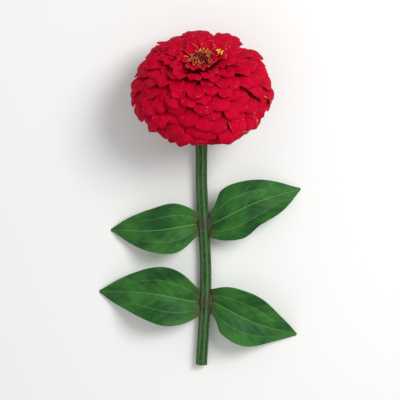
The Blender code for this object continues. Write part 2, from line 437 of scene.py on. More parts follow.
def cubic(start, first, last, end, t):
    """Points of the cubic curve that has those four control points."""
    rest = 1 - t
    return start * rest**3 + first * 3 * rest**2 * t + last * 3 * rest * t**2 + end * t**3


def tube_faces(rings, columns):
    """The faces of a tube that is closed at both ends, for rings of points from end to end."""
    index = np.arange(rings * columns).reshape(rings, columns)
    index = np.concatenate([index, index[:, :1]], axis=1)
    corners = (index[:-1, :-1], index[1:, :-1], index[1:, 1:], index[:-1, 1:])
    sides = np.stack([corner.reshape(-1) for corner in corners], axis=1).tolist()
    last = rings * columns - 1
    return [list(range(columns)), *sides, list(range(last, last - columns, -1))]


print("a smooth step in five places:", rise(np.linspace(0, 1, 5), 0, 1).round(2))

# %% [markdown]
# ## Where the bloom lies
#
# The receptacle is a turned solid, so its points spread most along its axis, and their covariance
# gives that axis. Its foot, at the far end, gives the height. From these the bloom's frame
# follows, without a single typed position.


# %% The bloom's frame, read from the receptacle
def node_points(name):
    mesh = frame["nodes"][name].data
    points = np.empty(len(mesh.vertices) * 3)
    mesh.vertices.foreach_get("co", points)
    return np.unique(points.reshape(-1, 3).round(5), axis=0)


def find_bloom():
    """The 4 by 4 matrix that takes the bloom's own frame to the table."""
    points = node_points("receptacle")
    middle = points.mean(axis=0)
    axis = np.linalg.eigh(np.cov((points - middle).T))[1][:, -1]
    axis *= np.sign(axis[2])
    foot = ((points - middle) @ axis).min()
    rim = middle + axis * (foot + RECEPTACLE_FOOT)
    side = np.array([1.0, 0.0, 0.0])
    side -= axis * (side @ axis)
    side /= np.linalg.norm(side)
    matrix = np.eye(4)
    matrix[:3, :3] = np.stack([side, np.cross(axis, side), axis], axis=1)
    matrix[:3, 3] = rim
    return matrix


bloom = find_bloom()


def on_table(radius, height, azimuth):
    """Points of the bloom's frame, given round its axis, as points over the table."""
    radius, height, azimuth = np.broadcast_arrays(radius, height, azimuth)
    local = np.stack([radius * np.cos(azimuth), radius * np.sin(azimuth), height], axis=-1)
    return local @ bloom[:3, :3].T + bloom[:3, 3]


lean = math.degrees(math.asin(bloom[2, 2]))
print("bloom's axis rises", round(lean, 1), "degrees, rim at", bloom[:3, 3].round(4))

# %% [markdown]
# ## Petals
#
# Each petal leaves the cone at its own height and ends on the flattened ball. Its middle line is
# a cubic curve: level and drooping for the lowest petals, upright for the ones round the heart.
# Each is turned by the golden angle from the one before, which is how the plant itself fills the
# head with no two petals in line. On that line hangs a blade with a narrow claw, a broad round
# end, a shallow notch, and a few long furrows. Random numbers give each its own lean, twist, cup
# and lift, because petals made alike would look moulded.

# %% The petal's middle line and outline
PETAL_THICKNESS = 0.28 * MM
WIDE_PETAL = 12.2 * MM
NARROW_PETAL = 7.6 * MM
CLAW_WIDTH = 0.2
LOWEST_FOOT = 1.6 * MM
FOOT_SPAN = 23.5 * MM
# The lowest petal leaves the cone at this angle over the level, and the highest this much
# steeper, both in degrees.
LOWEST_LEAVE = -2
LEAVE_SPAN = 76
LEAVE_POWER = 0.8
# The curve's handles and its length, as shares of the straight distance from root to tip
HANDLE_SHARE = 0.42
LENGTH_SHARE = 1.12


def petal_line(petal, share, tip_angle, reach):
    """Radius and height at each share of that petal's length, the direction square to it, and
    the length."""
    height_share = petal / PETALS
    foot = LOWEST_FOOT + FOOT_SPAN * height_share
    cone = CONE_FOOT_RADIUS + (CONE_TOP_RADIUS - CONE_FOOT_RADIUS) * foot / CONE_HEIGHT
    root = np.array([cone, foot])
    out, up = BLOOM_RADIUS * math.sin(tip_angle), BLOOM_HALF_HEIGHT * math.cos(tip_angle)
    tip = np.array([out, up])
    opening = math.exp((HIGHEST_TIP - tip_angle) / HEART_OPENING_REACH)
    tip[0] *= 1 + SKIRT_SPREAD * math.exp(-(((tip_angle - SKIRT_ANGLE) / SKIRT_REACH) ** 2))
    tip += [HEART_OPENING * opening, BLOOM_MIDDLE - HEART_SETTLE * opening]
    tip *= reach
    leave = math.radians(LOWEST_LEAVE + LEAVE_SPAN * height_share**LEAVE_POWER)
    # Along the ball itself at the tip, then lifted off it
    down, over = BLOOM_HALF_HEIGHT * math.sin(tip_angle), BLOOM_RADIUS * math.cos(tip_angle)
    arrive = math.atan2(-down, over) + TIP_LIFT + HEART_LIFT * math.exp(-tip_angle / HEART_REACH)
    arrive = max(arrive, STEEPEST_TIP)
    handle = HANDLE_SHARE * np.linalg.norm(tip - root)
    first = root + handle * np.array([math.cos(leave), math.sin(leave)])
    last = tip - handle * np.array([math.cos(arrive), math.sin(arrive)])
    t = share[..., None]
    rest = 1 - t
    line = cubic(root, first, last, tip, t)
    slope = (first - root) * rest**2 + (last - first) * 2 * rest * t + (tip - last) * t**2
    slope /= np.linalg.norm(slope, axis=-1, keepdims=True)
    length = handle / HANDLE_SHARE * LENGTH_SHARE
    return line, np.stack([-slope[..., 1], slope[..., 0]], axis=-1), length


def petal_breadth(share):
    """Share of the full width: a narrow claw, then a blade that draws in a little at its end."""
    blade = CLAW_WIDTH + (1 - CLAW_WIDTH) * rise(share, 0.04, 0.68)
    return blade * (1 - 0.1 * rise(share, 0.82, 1.0))


print("petals are", WIDE_PETAL / MM, "mm wide outside and", NARROW_PETAL / MM, "mm inside")

# %% One petal as a grid of points
PETAL_ROWS = 19
PETAL_COLUMNS = 13
# How much petals differ: degrees up and down the ball, degrees round it, width and reach
TIP_SCATTER = 1.6
TURN_SCATTER = 2.5
WIDTH_SCATTER = 0.09
REACH_SCATTER = 0.018
# How far one step of chance leans, twists and lifts a petal
LEAN = 0.9 * MM
TWIST = 0.13
LIFT = 0.95 * MM
# The end's roundness, its notch and the unevenness of its edge
ROUND_END = 0.62
NOTCH = 0.8 * MM
EDGE_WAVE = 0.35 * MM
# What runs over the face: furrows, ripples, a ruffled rim and an end that rolls back
FURROW = 0.16 * MM
RIPPLE = 0.22 * MM
RUFFLE = 0.9 * MM
ROLL_BACK = 1.1 * MM
LOWEST_POINT = 0.3 * MM
# Where round the axis the dried petals are, and from which tip angle on
DRIED_SIDE = math.radians(-38)
DRIED_FROM = math.radians(72)


def petal_end(across, width, length, phase, notch):
    """The share of the length that each column reaches: half an ellipse, notched and uneven."""
    rounding = ROUND_END * width / 2 / length * (1 - np.sqrt(1 - 0.98 * across**2))
    dent = NOTCH / length * notch * np.exp(-((across / 0.3) ** 2))
    waves = EDGE_WAVE / length * np.sin(5 * across + phase * 3)
    return 1 - rounding - dent + waves


def petal_relief(share, across, sideways, inner, phase, ruffle, twist, lift, spoon):
    """How far each point stands off the middle line, towards the petal's face."""
    blade = rise(share, 0.25, 0.9)
    cup = (-0.7 + 1.6 * rise(inner, 0.6, 0.95) + 0.75 * spoon) * MM
    bend = cup * across**2 * blade
    bend = bend + FURROW * np.cos(2 * math.pi * across) * blade
    bend = bend + TWIST * twist * sideways * blade
    bend = bend + LIFT * lift * share**3
    bend = bend + RUFFLE * ruffle * np.sin(3.4 * across + 2 * phase) * share**6
    ripples = np.sin(16 * share + phase) * np.sin(3 * across + 2 * phase)
    bend = bend + RIPPLE * ripples * blade
    return bend - ROLL_BACK * rise(share, 0.84, 1.02) ** 1.5 * (1 - 0.6 * inner)


def add_petal(sheets, petal):
    inner = petal / (PETALS - 1)
    tip_angle = LOWEST_TIP + (HIGHEST_TIP - LOWEST_TIP) * inner
    tip_angle += math.radians(rng.normal(0, TIP_SCATTER))
    azimuth = petal * GOLDEN_ANGLE + math.radians(rng.normal(0, TURN_SCATTER))
    width = WIDE_PETAL + (NARROW_PETAL - WIDE_PETAL) * rise(inner, 0.55, 1.0)
    width *= np.clip(rng.normal(1, WIDTH_SCATTER), 0.82, 1.2)
    lean, twist, lift, spoon = np.clip(rng.normal(0, 1, 4), -1.8, 1.8)
    reach = 1 + REACH_SCATTER * np.clip(rng.normal(), -1.5, 1.2)
    phase, ruffle, notch = rng.uniform(0, 6), rng.uniform(0.3, 1.0), rng.uniform(0, 1) ** 2

    # Columns lie closer together towards the sides, where the round end curves most.
    across = np.sin(np.linspace(-math.pi / 2, math.pi / 2, PETAL_COLUMNS))[None, :]
    along = np.linspace(0, 1, PETAL_ROWS)[:, None] ** 0.85
    _, _, length = petal_line(petal, along, tip_angle, reach)
    share = along * petal_end(across, width, length, phase, notch)
    line, square, _ = petal_line(petal, share, tip_angle, reach)
    sideways = across * width / 2 * petal_breadth(share)
    traits = (inner, phase, ruffle, twist, lift, spoon)
    line = line + square * petal_relief(share, across, sideways, *traits)[..., None]
    sideways = sideways + LEAN * lean * share**2
    radius = np.maximum(line[..., 0], 0.5 * MM)
    grid = on_table(radius, line[..., 1], azimuth - sideways / radius)
    grid[..., 2] = np.maximum(grid[..., 2], LOWEST_POINT)

    # Rims turn golden round the heart, and pale and dry on a few old petals low on one side.
    dried = rise(math.cos(azimuth - DRIED_SIDE), 0.8, 0.97)
    dried *= rise(tip_angle, DRIED_FROM, DRIED_FROM + 0.4)
    golden = rise(inner, 0.86, 1.0)
    gilt = max(golden * rng.uniform(0.2, 1.0), dried * rng.uniform(0.5, 1.5))
    sheets.add(
        grid,
        PETAL_THICKNESS,
        across=across,
        along=share,
        side_mm=sideways / MM,
        way_mm=share * length / MM,
        seed=float(petal),
        tone=rng.uniform(0, 1),
        gilt=gilt,
    )


print("each petal is a grid of", PETAL_ROWS, "by", PETAL_COLUMNS, "points")

# %% [markdown]
# ## The petals' finish
#
# A zinnia petal is velvety: deep crimson red, with fine veins that run its whole length. Towards
# its claw, which lies deep in the bloom under other petals, the red is darkened as painted shade,
# and its edges are lightened a little as a painted highlight. Its back is a duller red, and old
# pollen leaves small pale gold flecks. The petals round the heart have thin golden rims. The marks
# give each petal its own grain, because they measure millimetres along and across that petal
# instead of places on the table.


# %% Petal red
def petal_finish():
    finish = Finish("petal_velvet", roughness=0.6)
    finish.surface.inputs["Specular IOR Level"].default_value = 0.05
    along, across, tone = finish.marks("along", "across", "tone")
    side, way, seed = finish.marks("side_mm", "way_mm", "seed")
    grain = finish.grain(side, way, seed * 7.3)
    veins = finish.noise(grain, (2.6, 0.16, 1), 3.0)
    patches = finish.noise(grain, (0.3, 0.2, 1))

    red = finish.mix(tone * 0.6 + patches * 0.4, colour(178, 0, 38), colour(200, 0, 44))
    red = finish.mix(veins.between(0.45, 0.75) * 0.3, red, colour(146, 0, 32))
    # Painted shade: the red darkens towards the claw, which lies deep in the bloom under other
    # petals.
    painted_claw_shade = 1 - along.between(0.35, 0.75)
    red = finish.mix(painted_claw_shade * 0.7, red, colour(96, 0, 22))
    # Painted highlight: the blade's edges turn a paler pink. The same edge band also places the
    # golden rims below.
    rim = abs(across).between(0.86, 1.0) * along.between(0.5, 0.8)
    red = finish.mix(rim * 0.16, red, colour(222, 20, 56))
    red = finish.mix(finish.mark("under") * 0.5, red, colour(158, 14, 46))

    gold = finish.mark("gilt") * (rim + along.between(0.94, 0.99))
    gold = gold * patches.between(0.42, 0.58)
    red = finish.mix(gold.between(0, 1.1), red, colour(228, 172, 104))
    specks = finish.noise(grain, (1.5, 1.1, 1), 1.0).between(0.735, 0.77)
    red = finish.mix(specks * along.between(0.7, 0.9) * 0.75, red, colour(226, 160, 110))
    return finish.paint(red, 0.62 + veins * 0.2, veins + 0.4 * patches, 0.2 * MM)


petal_red = petal_finish()
print("petal finish has", len(petal_red.node_tree.nodes), "nodes")


# %% Grow the petals
def grow_petals():
    for petal in range(LOOSE_PETALS):
        sheets = Sheets()
        add_petal(sheets, petal)
        name = f"petal_{petal + 1:02d}"
        sheets.finish(name + "_blade", petal_red, "petal", [name])
    for crown in range(CROWNS):
        sheets = Sheets()
        first = LOOSE_PETALS + crown * PETALS_IN_CROWN
        for petal in range(first, first + PETALS_IN_CROWN):
            add_petal(sheets, petal)
        name = f"petal_crown_{crown + 1}"
        sheets.finish(name + "_blades", petal_red, "petal", [name])


grow_petals()
box = [tuple(round(x, 3) for x in corner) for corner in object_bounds()]
print("bloom box after the petals:", box)

# %% [markdown]
# ## The heart of the bloom
#
# Inside the petals the small disc florets open from the outside in. Each is a narrow tube that
# splits into five pointed golden lobes, which curl back. Inside their ring lie red buds that are
# still shut, and between them all stand dark crimson bracts, called chaff, with frayed tips. The
# florets are drawn as rings of points whose radius swings five times a turn, and the chaff as
# narrow pointed sheets. Now and then a floret opens among the petals, so one stands there on its
# own.

# %% Florets and chaff
OPEN_FLORETS = 17
SHUT_FLORETS = 20
CHAFF = 120
HEART_TOP = 38.5 * MM
TUBE_HEIGHT = 7 * MM
BUD_SIZE = 2.9 * MM
LOBES = 5
# radius, azimuth, height, size, opening and tone of the one that stands among the petals
STRAY_FLORET = (11.8 * MM, math.radians(8), 42.4 * MM, 2.5 * MM, 1.0, 1.6)


def add_floret(sheets, radius, azimuth, height, size, opening, tone):
    """A tube that opens in five curled lobes, and leans away from the axis."""
    rows, columns = 10, 40
    shut = 1 - opening
    along = np.linspace(0, 1, rows)[:, None]
    turn = np.linspace(0, 2 * math.pi, columns, endpoint=False)[None, :]
    lobe = (0.5 + 0.5 * np.cos(LOBES * turn)) ** 3
    mouth = rise(along, 0.5, 1.0) * opening
    closing = 1 - 0.9 * shut * rise(along, 0.55, 1.0)
    spread = size * (0.24 + mouth * (0.08 + 0.8 * lobe)) * closing
    up = TUBE_HEIGHT * np.minimum(along / 0.6, 1) + size * 0.55 * np.sin(math.pi * mouth) * lobe
    up = up + size * 0.5 * shut * rise(along, 0.5, 1) - size * 0.35 * mouth**3 * lobe
    ring = np.broadcast_arrays(spread * np.cos(turn), spread * np.sin(turn), up)
    foot = on_table(radius * 0.75, height - TUBE_HEIGHT, azimuth)
    head = on_table(radius, height, azimuth)
    axis = (head - foot) / np.linalg.norm(head - foot)
    side = np.cross(axis, bloom[:3, 0])
    side /= np.linalg.norm(side)
    other = np.cross(axis, side)
    spin = rng.uniform(0, 6)
    spun_side = side * math.cos(spin) + other * math.sin(spin)
    spun_other = other * math.cos(spin) - side * math.sin(spin)
    grid = np.stack(ring, axis=-1) @ np.stack([spun_side, spun_other, axis]) + foot
    sheets.add(grid, 0.16 * MM, closed=True, along=along, lobe=lobe, shut=shut, tone=tone)


def add_chaff(sheets, radius, azimuth, height, length):
    along, across = strip(7, 3)
    half = 0.6 * MM * (1 - along**2) + 0.06 * MM
    curl = rng.normal(0, 0.7) * MM
    out = radius + curl * along**2
    turn = azimuth + rng.normal(0, 0.15) + across * half / max(radius, 1.2 * MM)
    grid = on_table(out + 0 * across, height - length + length * along + 0 * across, turn)
    sheets.add(grid, 0.14 * MM, along=along, tone=rng.uniform(0, 1))


def floret_finish():
    finish = Finish("floret_gold", roughness=0.5)
    along, lobe, shut, tone = finish.marks("along", "lobe", "shut", "tone")
    patches = finish.noise(finish.place(), 900.0)
    gold = finish.mix(tone * 0.75 + patches * 0.25, colour(206, 98, 36), colour(240, 196, 96))
    gold = finish.mix(tone.between(1.1, 1.5), gold, colour(250, 214, 40))
    gold = finish.mix(1 - lobe.between(0.0, 0.4), gold, colour(150, 34, 30))
    gold = finish.mix(1 - along.between(0.45, 0.8), gold, colour(122, 28, 26))
    bud = finish.mix(along.between(0.7, 1.0), colour(104, 8, 24), colour(184, 44, 40))
    gold = finish.mix(shut.between(0.4, 0.7), gold, bud)
    return finish.paint(gold, 0.45 + patches * 0.2, patches, 0.1 * MM)


def chaff_finish():
    finish = Finish("chaff_crimson", roughness=0.6)
    along, tone = finish.marks("along", "tone")
    patches = finish.noise(finish.place(), 700.0)
    tip = finish.mix(tone, colour(140, 6, 32), colour(186, 16, 48))
    dark = finish.mix(along.between(0.5, 0.95), colour(70, 3, 18), tip)
    frayed = along.between(0.9, 1.0) * patches.between(0.55, 0.65)
    dark = finish.mix(frayed, dark, colour(214, 110, 80))
    return finish.paint(dark, 0.5 + patches * 0.25, patches, 0.1 * MM)


def grow_heart():
    florets = Sheets()
    for floret in range(OPEN_FLORETS):
        radius = rng.uniform(3.9, 7.9) * MM
        height = HEART_TOP + rng.normal(0.3, 0.7) * MM
        size = rng.uniform(1.6, 2.9) * MM
        azimuth = 2 * math.pi * (floret + rng.uniform(-0.6, 0.6)) / OPEN_FLORETS
        opening, tone = rng.uniform(0.55, 1.0), rng.uniform(0, 1)
        add_floret(florets, radius, azimuth, height, size, opening, tone)
    for floret in range(SHUT_FLORETS):
        radius = 4.6 * MM * math.sqrt((floret + 0.5) / SHUT_FLORETS)
        height = HEART_TOP + rng.normal(-0.6, 0.4) * MM
        opening, tone = rng.uniform(0, 0.2), rng.uniform(0, 1)
        add_floret(florets, radius, floret * GOLDEN_ANGLE, height, BUD_SIZE, opening, tone)
    add_floret(florets, *STRAY_FLORET)
    florets.finish("disc_floret_stars", floret_finish(), "floret", ["disc_florets"])
    chaff = Sheets()
    for scale in range(CHAFF):
        radius = 7.6 * MM * math.sqrt((scale + 0.5) / CHAFF) + 0.2 * MM
        dome = 0.9 - 2.4 * (radius / (7.8 * MM)) ** 2
        height = HEART_TOP + dome * MM + rng.normal(0, 0.5) * MM
        add_chaff(chaff, radius, scale * GOLDEN_ANGLE + 0.3, height, 9 * MM)
    chaff.finish("chaff", chaff_finish(), "heart", ["floret_heart"])


grow_heart()
print("open florets:", OPEN_FLORETS + 1, "shut:", SHUT_FLORETS, "chaff scales:", CHAFF)

# %% [markdown]
# ## Under the bloom
#
# The back of the bloom is a cup of green scales in three rows, each overlapping the next like
# roof tiles, with dark frayed rims. They close round the receptacle, the swollen end of the stem.
# It is turned here from one outline, and the scales follow the same outline a little outside it.

# %% Receptacle and bracts
RECEPTACLE_OUTLINE = (
    (CONE_HEIGHT + 1.6 * MM, 0.05 * MM),
    (CONE_HEIGHT + 1 * MM, CONE_TOP_RADIUS - 0.8 * MM),
    (CONE_HEIGHT, CONE_TOP_RADIUS),
    (0, CONE_FOOT_RADIUS),
    (-1.5 * MM, 9.6 * MM),
    (-5 * MM, 10 * MM),
    (-10.5 * MM, 8.2 * MM),
    (-14.2 * MM, 5.4 * MM),
    (-RECEPTACLE_FOOT, NECK_RADIUS),
)
# name: scales, foot height, top height, clearance, flare at the top
BRACT_ROWS = {
    "bracts_inner": (13, -9.0 * MM, 1.2 * MM, 0.7 * MM, 0.8 * MM),
    "bracts_middle": (13, -12.0 * MM, -2.4 * MM, 1.3 * MM, 0.9 * MM),
    "bracts_outer": (11, -14.0 * MM, -6.0 * MM, 1.9 * MM, 0.9 * MM),
}


def side_radius(height):
    heights, radii = zip(*reversed(RECEPTACLE_OUTLINE))
    return np.interp(height, heights, radii)


def turn_receptacle(material):
    """A turned body: rings of points down the outline."""
    columns = 48
    turn = np.linspace(0, 2 * math.pi, columns, endpoint=False)
    rings = [on_table(radius, height, turn) for height, radius in RECEPTACLE_OUTLINE]
    points, faces = np.concatenate(rings), tube_faces(len(rings), columns)
    body = add_piece("receptacle_body", points, faces, material, ["receptacle"])
    body.data.shade_smooth()


def add_bract(sheets, count, index, turn, foot, top, clearance, flare):
    along, across = strip(12, 9)
    share = along * (1 - 0.22 * np.abs(across) ** 2.2)
    height = foot + (top - foot) * share
    # Every other scale stands a little further out, so that neighbours overlap.
    shingle = 0.35 * MM * (index % 2)
    hug = rise(share, -0.15, 0.4)
    radius = side_radius(height) + (clearance + shingle) * hug + flare * share**3
    radius = radius + 0.1 * MM - 0.5 * MM * across**2 * hug
    half = math.pi / count * 1.35 * (0.55 + 0.45 * rise(share, 0, 0.45))
    azimuth = turn + 2 * math.pi * index / count + across * half + rng.normal(0, 0.03)
    sheets.add(on_table(radius, height, azimuth), 0.35 * MM, across=across, along=share)


def bract_finish():
    finish = Finish("bract_green", roughness=0.55)
    along, across = finish.marks("along", "across")
    patches = finish.noise(finish.place(), 420.0, 3.0)
    green = finish.mix(patches, colour(72, 104, 44), colour(106, 134, 62))
    green = finish.mix(1 - along.between(0.0, 0.5), green, colour(128, 150, 84))
    rim = (across * across * 0.26 + along + patches * 0.14).between(0.94, 1.06)
    green = finish.mix(rim, green, colour(52, 34, 34))
    return finish.paint(green, 0.45 + patches * 0.25, patches, 0.15 * MM)


def receptacle_finish():
    finish = Finish("receptacle_green", roughness=0.55)
    patches = finish.noise(finish.place(), 300.0, 3.0)
    green = finish.mix(patches, colour(88, 118, 60), colour(122, 146, 84))
    return finish.paint(green, 0.5 + patches * 0.2, patches, 0.15 * MM)


def grow_cup():
    turn_receptacle(receptacle_finish())
    material = bract_finish()
    for row, (name, (count, *sizes)) in enumerate(BRACT_ROWS.items()):
        sheets = Sheets()
        for index in range(count):
            add_bract(sheets, count, index, 0.3 * row, *sizes)
        sheets.finish(name + "_scales", material, "bract", [name])


grow_cup()
print("bract rows:", list(BRACT_ROWS))

# %% [markdown]
# ## Stem
#
# The stem bends from the bloom's axis down to the table and lies there with a slight sway. It is
# ribbed, hairy and swollen at the two nodes, where the skin turns purple. A bevelled curve would
# be smooth all round, so the ribs are made by letting the radius swing as rings of points follow
# the middle line.


# %% The stem's middle line
ARC_STEPS = 24
LYING_STEPS = 150
TABLE_GAP = 0.1 * MM


def stem_stations():
    """Points, radii and node marks along the middle line, from the bloom to the cut end."""
    top = Vector(on_table(0.0, -RECEPTACLE_FOOT, 0.0))
    middle = Vector(on_table(0.0, BLOOM_MIDDLE, 0.0))
    level = NODE_RADIUS + TABLE_GAP
    bend = (top.z - level) / (1 - math.cos(FACE_ELEVATION))
    points = []
    for step in range(ARC_STEPS):
        angle = FACE_ELEVATION * (1 - step / ARC_STEPS)
        y = top.y - bend * (math.sin(FACE_ELEVATION) - math.sin(angle))
        points.append((y, level + bend * (1 - math.cos(angle))))
    start = top.y - bend * math.sin(FACE_ELEVATION)
    cut = middle.y + CUT_END
    for step in range(LYING_STEPS + 1):
        points.append((start + (cut - start) * step / LYING_STEPS, level))
    stations = []
    for index, (y, z) in enumerate(points):
        along = max(start - y, 0) / (start - cut)
        x = middle.x + STEM_SWAY * math.sin(math.pi * along) * math.sin(2.4 * along)
        near = min(abs(y - middle.y - station) for station in NODE_STATIONS)
        node = math.exp(-((near / NODE_SPREAD) ** 2))
        neck = float(1 - rise(index, 0, ARC_STEPS))
        swelling = max((NODE_RADIUS - STEM_RADIUS) * node, (NECK_RADIUS - STEM_RADIUS) * neck)
        stations.append((Vector((x, y, z)), STEM_RADIUS + swelling, node))
    return stations


def stem_axes():
    """The middle line, its radii, its direction, and the level direction square to that."""
    line = np.array([point for point, _, _ in stations])
    radii = np.array([radius for _, radius, _ in stations])[:, None]
    ahead = np.gradient(line, axis=0)
    ahead /= np.linalg.norm(ahead, axis=1, keepdims=True)
    return line, radii, ahead, np.cross(ahead, [0, 0, 1.0])


stations = stem_stations()
stem_length = sum((b[0] - a[0]).length for a, b in zip(stations, stations[1:]))
print("stem is", round(stem_length, 3), "m")

# %% Stem mesh and finish
RIBS = 7
RIB_DEPTH = 0.028
STEM_SIDES = 72
# The cut end: two smaller rings, for the rind and the core, and how far each stands out
CUT_RINGS = (0.97, 0.7)
CUT_BULGE = 0.08 * MM


def stem_rings():
    turn = np.linspace(0, 2 * math.pi, STEM_SIDES, endpoint=False)
    line, radii, ahead, side = stem_axes()
    side /= np.linalg.norm(side, axis=1, keepdims=True)
    up = np.cross(side, ahead)
    swing = np.cos(RIBS * turn)[None, :] + 0.35 * np.cos(2 * RIBS * turn)[None, :]
    ribbed = radii * (1 - 0.035 + RIB_DEPTH * swing)
    rings = line[:, None] + side[:, None] * (ribbed * np.cos(turn))[..., None]
    rings = rings + up[:, None] * (ribbed * np.sin(turn))[..., None]
    return rings, swing


def stem_finish():
    finish = Finish("stem_green", roughness=0.55)
    finish.surface.inputs["Specular IOR Level"].default_value = 0.2
    rib, node, end = finish.marks("rib", "node", "end")
    place = finish.place()
    streaks = finish.noise(place, (1400, 90, 1400), 3.0)
    dots = finish.noise(place, 1500.0, 1.0)
    green = finish.mix(rib.between(-0.9, 1.2), colour(24, 54, 30), colour(66, 108, 52))
    green = finish.mix(streaks.between(0.4, 0.7) * 0.25, green, colour(96, 134, 76))
    green = finish.mix(dots.between(0.6, 0.68) * 0.35, green, colour(150, 174, 128))
    green = finish.mix(node * 0.45, green, colour(78, 46, 50))
    pith = finish.noise(place, 1800.0)
    rind = finish.mix(pith, colour(122, 156, 84), colour(150, 178, 108))
    core = finish.mix(pith, colour(206, 214, 172), colour(228, 232, 200))
    green = finish.mix(end.between(0.4, 0.9), green, rind)
    green = finish.mix(end.between(1.1, 1.9), green, core)
    return finish.paint(green, 0.5 + streaks * 0.2, rib * 0.4 + dots, 0.2 * MM)


def grow_stem(material):
    rings, swing = stem_rings()
    middle = rings[-1].mean(axis=0)
    bulge = np.array([0, -CUT_BULGE, 0])
    cut = [middle + (rings[-1] - middle) * share + bulge for share in CUT_RINGS]
    count = len(rings) + len(cut)
    points = np.concatenate([rings, cut]).reshape(-1, 3)
    nodes = [mark for _, _, mark in stations] + [0, 0]
    ends = [0] * len(stations) + [1, 2]
    marks = {
        "rib": np.tile(swing[0], count),
        "node": np.repeat(nodes, STEM_SIDES),
        "end": np.repeat(ends, STEM_SIDES),
    }
    faces = tube_faces(count, STEM_SIDES)
    skin = add_piece("stem_skin", points, faces, material, ["stem"], marks)
    skin.data.shade_smooth()
    for face in (skin.data.polygons[0], *skin.data.polygons[-1 - 2 * STEM_SIDES :]):
        face.use_smooth = False
    return skin


stem = grow_stem(stem_finish())
print("stem faces:", len(stem.data.polygons))

# %% [markdown]
# ## Hairs on the stem
#
# A zinnia stem feels rough, because short stiff hairs stand out all over it. A particle system
# would not survive the export, so each hair is a tiny three-sided spike of mesh, set square to
# the skin.

# %% Stem hairs
HAIRS = 1500
HAIR_WIDTH = 0.11 * MM
HAIR_LENGTHS = (0.8, 1.7)
HAIR_LEAN = 0.25
HAIR_FOOT = 0.93


def grow_hairs(material):
    line, radii, ahead, side = stem_axes()
    up = np.cross(side, ahead)
    spot = rng.integers(2, len(line) - 2, HAIRS)
    turn = rng.uniform(0, 2 * math.pi, HAIRS)[:, None]
    out = side[spot] * np.cos(turn) + up[spot] * np.sin(turn)
    across = np.cross(ahead[spot], out)
    foot = line[spot] + out * (radii[spot] * HAIR_FOOT)
    foot = foot + ahead[spot] * rng.uniform(-0.4, 0.4, (HAIRS, 1)) * MM
    length = rng.uniform(*HAIR_LENGTHS, (HAIRS, 1)) * MM
    lean = ahead[spot] * rng.normal(0, HAIR_LEAN, (HAIRS, 1))
    lean = lean + across * rng.normal(0, HAIR_LEAN, (HAIRS, 1))
    tip = foot + (out + lean) * length
    corners = []
    for corner in range(3):
        angle = 2 * math.pi * corner / 3
        round_foot = ahead[spot] * math.cos(angle) + across * math.sin(angle)
        corners.append(foot + round_foot * HAIR_WIDTH / 2)
    points = np.stack([*corners, tip], axis=1).reshape(-1, 3)
    points[:, 2] = np.maximum(points[:, 2], TABLE_GAP / 2)
    faces = []
    for start in range(0, len(points), 4):
        a, b, c, top = range(start, start + 4)
        faces += [(a, b, c), (b, a, top), (c, b, top), (a, c, top)]
    add_piece("stem_hairs", points, faces, material, [])


def hair_finish():
    finish = Finish("hair_pale", roughness=0.5)
    patches = finish.noise(finish.place(), 500.0)
    return finish.paint(finish.mix(patches, colour(120, 146, 100), colour(184, 200, 164)))


grow_hairs(hair_finish())
print("hairs:", HAIRS)

# %% [markdown]
# ## Leaves
#
# Zinnia leaves sit in pairs and clasp the stem with no stalk. Three strong veins start together
# at the base, and finer ones branch from them. The blade is quilted between its veins, its edge
# waves, and its tip touches the table. The base and the tip of each are read from its solid, and
# the arch between them is the solid's own. The sway, the twist and the curled margins are the
# sheet's.

# %% Leaf shape
LEAF_THICKNESS = 0.35 * MM
LEAF_OUTLINE = (
    (0, 0.42),
    (0.08, 0.66),
    (0.16, 0.86),
    (0.25, 0.97),
    (0.35, 1),
    (0.46, 0.95),
    (0.58, 0.82),
    (0.7, 0.62),
    (0.82, 0.4),
    (0.92, 0.19),
    (1, 0.02),
)
# name: width, arch height, sideways sway, twist at the tip, then for the left-hand and the
# right-hand margin, seen from above with the tip up: where its curl starts, as a share of the
# half width, and how much it bends in a millimetre
LEAVES = {
    "leaf_upper_right": (36 * MM, 15 * MM, 2.6 * MM, 0.1, ((0.5, 0.02), (0.4, 0.13))),
    "leaf_upper_left": (33 * MM, 13 * MM, -2.2 * MM, -0.16, ((0.5, 0.05), (0.5, 0.02))),
    "leaf_lower_right": (35 * MM, 14 * MM, -2.4 * MM, -0.12, ((0.5, 0.01), (0.55, 0.08))),
    "leaf_lower_left": (38 * MM, 16 * MM, 2.8 * MM, 0.14, ((0.55, 0.09), (0.5, 0.02))),
}

LEAF_ROWS = 65
LEAF_COLUMNS = 41
# The blade starts this much nearer to the stem than its solid does.
CLASP = 2.2 * MM
FOLD = 5.8 * MM
MIDRIB_GROOVE = 1.0 * MM
SIDE_GROOVE = 0.5 * MM
SIDE_VEIN = 0.52
QUILTING = 0.2 * MM
EDGE_WAVES = 2.1 * MM


def leaf_ends(name):
    """The middles of the base edge and of the tip edge of that leaf's solid."""
    points = node_points(name)
    away = np.abs(points[:, 0])
    base = points[away < away.min() + 0.6 * MM].mean(axis=0)
    tip = points[away > away.max() - 0.6 * MM].mean(axis=0)
    return Vector(base), Vector(tip)


def leaf_breadth(along, phase):
    """The smoothed outline, with an uneven edge, as a share of the full width."""
    places = np.linspace(0, 1, 400)
    shares, widths = zip(*LEAF_OUTLINE)
    fine = np.interp(places, shares, widths)
    fine = np.convolve(np.pad(fine, 20, mode="edge"), np.ones(41) / 41, "valid")
    breadth = np.interp(along, places, fine)
    return breadth * (1 + 0.03 * np.sin(11 * along + phase) * rise(along, 0.1, 0.3))


